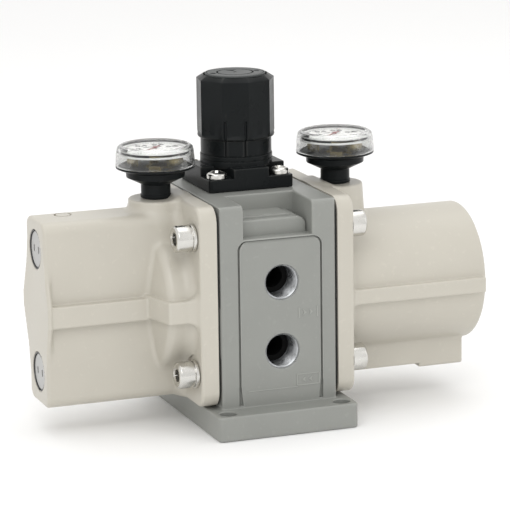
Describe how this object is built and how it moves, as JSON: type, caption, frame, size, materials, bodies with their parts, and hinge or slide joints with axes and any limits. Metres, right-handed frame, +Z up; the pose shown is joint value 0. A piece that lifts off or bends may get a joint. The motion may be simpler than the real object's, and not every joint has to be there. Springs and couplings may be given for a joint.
{
  "type": "pneumatic pressure booster",
  "caption": "Handle-operated air pressure booster: grey ported body on a foot plate, a cylinder cover each side, pressure gauges and an adjusting knob on top.",
  "frame": {"origin": "middle of the foot plate's underside, below the cylinder axis", "axes": "+X along the cylinders to the round cover, -Y towards the side with the two ports, +Z up"},
  "size_m": [0.219, 0.111, 0.1647],
  "materials": {
    "beige_paint": "satin enamel on die cast aluminium",
    "grey_paint": "satin enamel on die cast aluminium",
    "black_plastic": "moulded, fine texture",
    "plated_steel": "bright zinc plate",
    "aluminium": "machined",
    "brass": "machined",
    "rubber": "matt",
    "dial_white": null,
    "needle_red": "matt lacquer",
    "clear_plastic": "clear moulded acrylic",
    "felt": "pressed fibre"
  },
  "bodies": {
    "housing": {"body": "grey_paint", "cover_left": "beige_paint", "cover_right": "beige_paint", "gasket_left": "rubber", "gasket_right": "rubber", "cover_bolt_left_1": "plated_steel", "cover_bolt_left_2": "plated_steel", "cover_bolt_left_3": "plated_steel", "cover_bolt_left_4": "plated_steel", "cover_bolt_right_1": "plated_steel", "cover_bolt_right_2": "plated_steel", "cover_bolt_right_3": "plated_steel", "cover_bolt_right_4": "plated_steel", "rod_seal": "rubber", "diaphragm": "rubber", "bonnet_screw_1": "plated_steel", "bonnet_screw_2": "plated_steel", "bonnet_screw_3": "plated_steel", "bonnet_screw_4": "plated_steel", "plug_ring_upper": "plated_steel", "plug_ring_lower": "plated_steel", "governor_spring": "plated_steel", "governor_valve_spring": "plated_steel", "plug_upper": "aluminium", "plug_lower": "aluminium", "changeover_sleeve": "aluminium", "silencer_divider": "aluminium", "spring_sleeve": "aluminium", "rod_bush": "brass", "valve_seat": "brass", "gauge_movement_left": "brass", "gauge_movement_right": "brass", "bonnet": "black_plastic", "gauge_case_left": "black_plastic", "gauge_case_right": "black_plastic", "gauge_dial_left": "dial_white", "gauge_dial_right": "dial_white", "gauge_lens_left": "clear_plastic", "gauge_lens_right": "clear_plastic", "silencer_element": "felt"},
    "screw": {"adjusting_screw": "plated_steel"},
    "knob": {"knob": "black_plastic", "knob_cap": "black_plastic"},
    "nut": {"spring_nut": "brass"},
    "pilot": {"diaphragm_plate": "aluminium", "governor_valve": "brass"},
    "check_upper": {"check_poppet_upper": "brass", "check_spring_upper": "plated_steel"},
    "check_lower": {"check_poppet_lower": "brass", "check_spring_lower": "plated_steel"},
    "pistons": {"piston_rod": "plated_steel", "piston_left": "aluminium", "piston_right": "aluminium", "piston_seal_left": "rubber", "piston_seal_right": "rubber", "rod_nut_left": "plated_steel", "rod_nut_right": "plated_steel"},
    "changeover": {"changeover_spool": "plated_steel"},
    "needle_left": {"gauge_needle_left": "needle_red"},
    "needle_right": {"gauge_needle_right": "needle_red"}
  },
  "joints": [
    {"name": "knob_turn", "type": "hinge", "parent": "housing", "child": "screw", "pos_m": [-0.0004, 0.01275, 0.14], "axis": [0, 0, 1], "range_deg": [-720, 720]},
    {"name": "knob_lift", "type": "slide", "parent": "screw", "child": "knob", "axis": [0, 0, 1], "range_m": [0, 0.0025]},
    {"name": "nut_travel", "type": "slide", "parent": "housing", "child": "nut", "axis": [0, 0, 1], "range_m": [-0.0026, 0.0026], "deforming": ["governor_spring"]},
    {"name": "governor_valve_lift", "type": "slide", "parent": "housing", "child": "pilot", "axis": [0, 0, 1], "range_m": [-0.0012, 0], "stiffness_N_per_m": 2500, "springref_m": 0.0004, "deforming": ["governor_valve_spring"]},
    {"name": "check_upper_open", "type": "slide", "parent": "housing", "child": "check_upper", "axis": [-1, 0, 0], "range_m": [0, 0.0025], "stiffness_N_per_m": 250, "springref_m": -0.001},
    {"name": "check_lower_open", "type": "slide", "parent": "housing", "child": "check_lower", "axis": [-1, 0, 0], "range_m": [0, 0.0025], "stiffness_N_per_m": 250, "springref_m": -0.001},
    {"name": "piston_stroke", "type": "slide", "parent": "housing", "child": "pistons", "axis": [1, 0, 0], "range_m": [-0.0135, 0.0135]},
    {"name": "changeover_shift", "type": "slide", "parent": "housing", "child": "changeover", "axis": [1, 0, 0], "range_m": [-0.002, 0.002]},
    {"name": "needle_left_turn", "type": "hinge", "parent": "housing", "child": "needle_left", "pos_m": [-0.0462, 0, 0.133], "axis": [0, 0, -1], "range_deg": [0, 270], "stiffness_Nm_per_rad": 0.0002},
    {"name": "needle_right_turn", "type": "hinge", "parent": "housing", "child": "needle_right", "pos_m": [0.0462, 0, 0.133], "axis": [0, 0, -1], "range_deg": [0, 270], "stiffness_Nm_per_rad": 0.0002}
  ],
  "couplings": [
    {"joint": "nut_travel", "follows": "knob_turn", "m_per_rad": 0.00019894}
  ]
}
